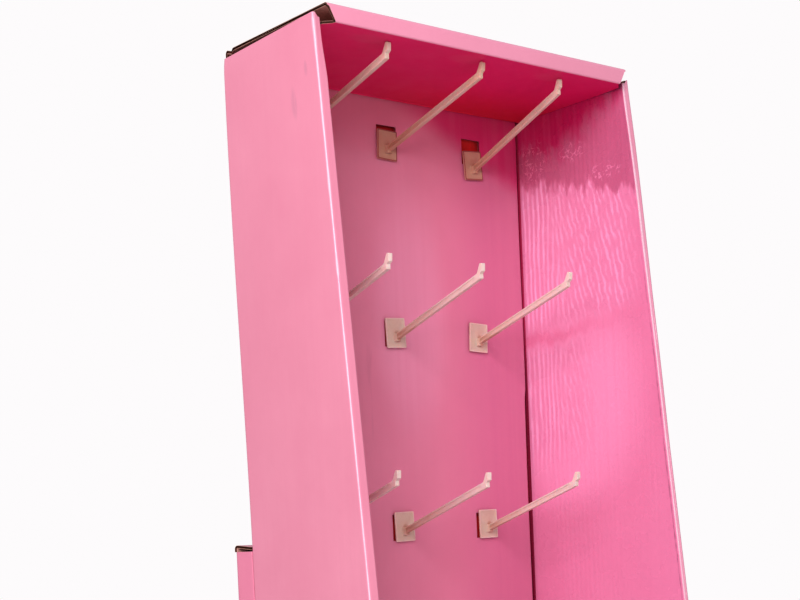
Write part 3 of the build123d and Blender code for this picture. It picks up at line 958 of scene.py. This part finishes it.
lid_wear = fold_marks(lid_run, run_along(lid_line), {0: 0.4}, 0.0014)
brace_parts += sheet(
    lid_grid(lid_line),
    lid_grid(lid_plain),
    section_looks(lid_look),
    {"first_column": cut_drift, "last_column": cut_drift, "last_row": flute_pitch},
    lid_wear[:, None],
)
brace_inks = (0.69, 0.265, 0.375), (0.65, 0.235, 0.345)
brace_print = printed_board("pink_print_of_the_brace", *brace_inks, 0.40, 0.15)
rear_brace = board_piece("rear_brace_sheet", brace_parts, [brace_print] + board_finish[1:])
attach(rear_brace, "root")
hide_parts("rear_brace")

# Plinth and floor tray.
# Two more printed sheets close the foot between the walls. The plinth is a deck, a front that slopes
# as the walls do and two glue flanges. The tray is a base with a kick strip in front and an upstand.
plinth_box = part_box("plinth")
tray_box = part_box("floor_tray")
deck_z = plinth_box[1].z
kick_setback = 0.005
glue_flange = 0.030
tray_wall = board + ceiling_gap


def front_edge_y(height):
    """Y of the walls' front edges at a height."""
    width = np.interp(height, [0, wall_top_z], [wall_width_bottom, wall_width_top])
    return back_y - width * cos(wall_flare)


def across_the_room(name, corners, folds, step):
    """A folded sheet whose section runs from wall to wall, with its side edges cut to the walls' flare."""
    line, plain, look, run = folded_line(corners, [fold_radius] * (len(corners) - 2), step)
    half = half_room(line[:, 0]) - ceiling_gap
    share = np.linspace(-1, 1, 65)

    def carried(section):
        """The section's points carried from wall to wall, each as far as there is room at its depth."""
        across = half[:, None] * share[None]
        depth, height = (np.broadcast_to(section[:, k : k + 1], across.shape) for k in (0, 1))
        return np.stack([across, depth, height], axis=-1)

    parts = sheet(
        carried(line),
        carried(plain),
        section_looks(look),
        cut_all_round,
        fold_marks(run, run_along(line), folds, 0.0016)[:, None],
    )
    piece = board_piece(name + "_sheet", parts, board_finish)
    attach(piece, "root")
    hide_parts(name)


plinth_front = kick_setback + tray_wall
across_the_room(
    "plinth",
    [
        (panel_y, deck_z - glue_flange),
        (panel_y, deck_z),
        (front_edge_y(deck_z) + plinth_front, deck_z),
        (front_edge_y(tray_wall) + plinth_front, tray_wall),
        (front_edge_y(tray_wall) + plinth_front + glue_flange, tray_wall),
    ],
    {1: 0.5},
    0.006,
)
kick_height = tray_box[1].z
across_the_room(
    "floor_tray",
    [
        (front_edge_y(kick_height) + kick_setback, kick_height),
        (front_edge_y(0) + kick_setback, 0),
        (panel_y - ceiling_gap, 0),
        (panel_y - ceiling_gap, 0.045),
    ],
    {0: 0.3},
    0.006,
)

# Dividers inside the plinth.
# Three slotted boards of bare kraft carry the deck. They are cut, not folded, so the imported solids
# are kept and only finished here.
divider_paper = bare_board("kraft_dividers", (0.42, 0.25, 0.14), (0.27, 0.14, 0.075), 240.0, (1, 1, 0.15))
for divider in ("long_divider", "cross_divider_left", "cross_divider_right"):
    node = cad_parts[divider]
    node.data.materials.clear()
    node.data.materials.append(divider_paper)

# Hooks.
# Each hook is one moulding of ivory polypropylene: a cover plate with a raised rim over its window, a
# ribbed arm with an upturned tip, and a key behind the panel. The imported solid is copied and its edges
# are eased as a mould leaves them. The plastic is slightly clear, and a brown round patch of painted
# shade darkens it at the arm's root. The top row's colours are a painted shade, and the rims carry painted
# light.
hook_edge = 0.00035
rim_height = 0.0004


def hook_plastic(name, light, dark, arm, tip, root=None):
    """Ivory plastic, a little milky, with faint flow lines and a satin skin, paler along the thin arm and
    palest at the tip, and a brown round patch of painted shade at the arm's root."""
    material, shader, place = finish_nodes(name)
    across, depth, height = split_axes(place)
    colour = ramp(noise(place, 60.0, 3.0), 0.3, 0.7, dark, light)
    if root:
        painted_root_shade_distance = spot(across, height, root[0] + 0.0012, root[1], 0.0042, 0.0062)
        colour = tinted(colour, (0.55, 0.31, 0.215), (painted_root_shade_distance, 0.4, 1.5, 0.70, 0.0))
    colour = tinted(colour, arm, (depth, 0.020, 0.119, 1.0, 0.0))
    colour = tinted(colour, tip, (depth, 0.000, 0.012, 0.8, 0.0))
    flow = noise(place, 300.0, 4.0, (1, 0.12, 1))
    colour = tinted(colour, (0.54, 0.31, 0.27), (flow, 0.5, 0.8, 0.0, 0.18))
    fill(shader, {"Base Color": colour, "Roughness": spread_range(flow, 0.3, 0.7, 0.34, 0.48)})
    shader.inputs["Subsurface Weight"].default_value = 0.25
    shader.inputs["Subsurface Radius"].default_value = (0.004, 0.0025, 0.0018)
    shader.inputs["Subsurface Scale"].default_value = 1.0
    shader.inputs["Specular IOR Level"].default_value = 0.45
    relief(shader, flow, 0.00008)
    return material


def eased_copy(node_name, colours, rim_plastic):
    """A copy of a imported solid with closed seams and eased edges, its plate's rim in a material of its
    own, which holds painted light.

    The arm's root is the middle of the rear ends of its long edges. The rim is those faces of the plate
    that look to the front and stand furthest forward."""
    arm_length, plate_depth, faces_front = 0.06, 0.006, -0.97
    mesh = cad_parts[node_name].data.copy()
    mesh.name = node_name + "_moulding"
    close_seams(mesh)
    points, looks = listed(mesh.vertices, "co"), listed(mesh.polygons, "normal")
    middles = listed(mesh.polygons, "center")
    ends = listed(mesh.edges, "vertices", 2).astype(int)
    ends = ends[np.abs(np.diff(points[ends, 1])[:, 0]) > arm_length]
    root = points[ends[np.arange(len(ends)), np.argmax(points[ends, 1], axis=1)]].mean(axis=0)
    plate_face = (looks[:, 1] < faces_front) & (middles[:, 1] > panel_y - plate_depth)
    forward = middles @ looks[plate_face].mean(axis=0)
    rim = plate_face & (forward > forward[plate_face].max() - rim_height / 2)
    mesh.materials.clear()
    mesh.materials.append(hook_plastic("ivory_of_" + node_name, *colours, (root[0], root[2])))
    mesh.materials.append(rim_plastic)
    mesh.polygons.foreach_set("material_index", rim.astype(np.int32))
    mesh.shade_smooth()
    mesh.set_sharp_from_angle(angle=sharp_fold)
    piece = bpy.data.objects.new(node_name + "_moulding", mesh)
    bpy.context.scene.collection.objects.link(piece)
    bevel = piece.modifiers.new("eased_edges", "BEVEL")
    bevel.width = hook_edge
    bevel.segments = 2
    bevel.limit_method = "ANGLE"
    bevel.angle_limit = sharp_fold
    bevel.harden_normals = False
    return piece


pale_arm, pale_tip = (0.78, 0.61, 0.58), (0.81, 0.66, 0.62)
# The lower rows' rims are paler than their plates, a painted highlight; the top row's rims are a painted red
# shade.
rim_painted_highlight = hook_plastic("ivory_rim", (0.82, 0.63, 0.58), (0.78, 0.58, 0.53), pale_arm, pale_tip)
rim_painted_red_shade = hook_plastic("ivory_rim_in_painted_red_shade", (0.46, 0.17, 0.16), (0.38, 0.12, 0.12), pale_arm, pale_tip)
# The top row's colours are darker and browner, a painted shade under the top, the middle hook's tip most of
# all.
in_shade = (0.66, 0.425, 0.32), (0.62, 0.385, 0.285), (0.69, 0.53, 0.455), (0.78, 0.62, 0.54)
tip_in_deeper_painted_shade = in_shade[:3] + ((0.73, 0.53, 0.41),)
in_light = (0.745, 0.580, 0.500), (0.705, 0.530, 0.450), pale_arm, pale_tip
for row in range(1, 6):
    for column in range(1, 4):
        hook_name = f"hook_{row}_{column}"
        if row == 1:
            hook = eased_copy(hook_name, tip_in_deeper_painted_shade if column == 2 else in_shade, rim_painted_red_shade)
        else:
            hook = eased_copy(hook_name, in_light, rim_painted_highlight)
        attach(hook, "root")
        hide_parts(hook_name)

# Floor, light and camera.
# A pale studio floor, one large soft lamp in front on the left, and pale surroundings that are darker
# low down. The camera stands where the photograph was taken from.
floor_radius = 5
floor_mesh = bpy.data.meshes.new("studio_floor")
ring = np.linspace(0, 2 * pi, 97)[:-1]
floor_points = np.stack([floor_radius * np.cos(ring), floor_radius * np.sin(ring), 0 * ring], axis=1)
floor_mesh.from_pydata(floor_points.tolist(), [], [list(range(len(ring)))])
studio_floor = bpy.data.objects.new("studio_floor", floor_mesh)
bpy.context.scene.collection.objects.link(studio_floor)
floor_finish, floor_shader, floor_place = finish_nodes("pale_floor")
floor_colour = ramp(noise(floor_place, 3.0), 0.3, 0.7, (0.78, 0.77, 0.77), (0.82, 0.81, 0.81))
fill(floor_shader, {"Base Color": floor_colour})
floor_shader.inputs["Roughness"].default_value = 0.8
floor_mesh.materials.append(floor_finish)

world = bpy.data.worlds.new("studio")
bpy.context.scene.world = world
world.use_nodes = True
sky = world.node_tree.nodes
surround = sky["Background"]
upward = split_axes(sky.new("ShaderNodeTexCoord").outputs["Generated"])[2]
glow = ramp(spread_range(upward, -0.6, 0.5, 0.0, 1.0), 0.0, 1.0, (0.22, 0.21, 0.21), (0.62, 0.62, 0.62))
seen = sky.new("ShaderNodeLightPath").outputs["Is Camera Ray"]
fill(surround, {"Color": mixed(seen, glow, (0.987, 0.973, 0.980))})
surround.inputs["Strength"].default_value = 1.0


def soft_lamp(name, towards, azimuth, elevation, distance, size, power):
    """A square lamp that faces a point from an azimuth, counted as the camera's, and an elevation."""
    lamp = bpy.data.lights.new(name, "AREA")
    lamp.shape = "SQUARE"
    lamp.size = size
    lamp.energy = power
    holder = bpy.data.objects.new(name, lamp)
    back = Vector((-sin(azimuth) * cos(elevation), -cos(azimuth) * cos(elevation), sin(elevation)))
    holder.location = Vector(towards) + back * distance
    holder.rotation_mode = "QUATERNION"
    holder.rotation_quaternion = (-back).to_track_quat("-Z", "Y")
    bpy.context.scene.collection.objects.link(holder)


soft_lamp("key_lamp", (0, 0, 1.1), radians(52), radians(19), 2.6, 1.7, 70)

lens_width = 36.0
focal_pixels = 1596.288
image_width = 800
rise_pixels = 300
camera_place = Vector((-1.10058, -1.22097, 0.90160))
yaw, pitch, roll = radians(38.867), radians(-1.837), radians(-2.419)
ahead = Vector((sin(yaw) * cos(pitch), cos(yaw) * cos(pitch), sin(pitch)))
level = Vector((cos(yaw), -sin(yaw), 0))
upright = level.cross(ahead)
rolled = level * cos(roll) + upright * sin(roll)
rolled_up = upright * cos(roll) - level * sin(roll)
camera_data = bpy.data.cameras.new("photo_camera")
camera_data.sensor_width = lens_width
camera_data.lens = focal_pixels / image_width * lens_width
camera_data.shift_y = rise_pixels / image_width
camera = bpy.data.objects.new("photo_camera", camera_data)
turn = Matrix((rolled, rolled_up, -ahead)).transposed().to_4x4()
camera.matrix_world = Matrix.Translation(camera_place) @ turn
bpy.context.scene.collection.objects.link(camera)
bpy.context.scene.camera = camera
bpy.context.scene.view_settings.view_transform = "Standard"
bpy.context.scene.view_settings.gamma = 0.75
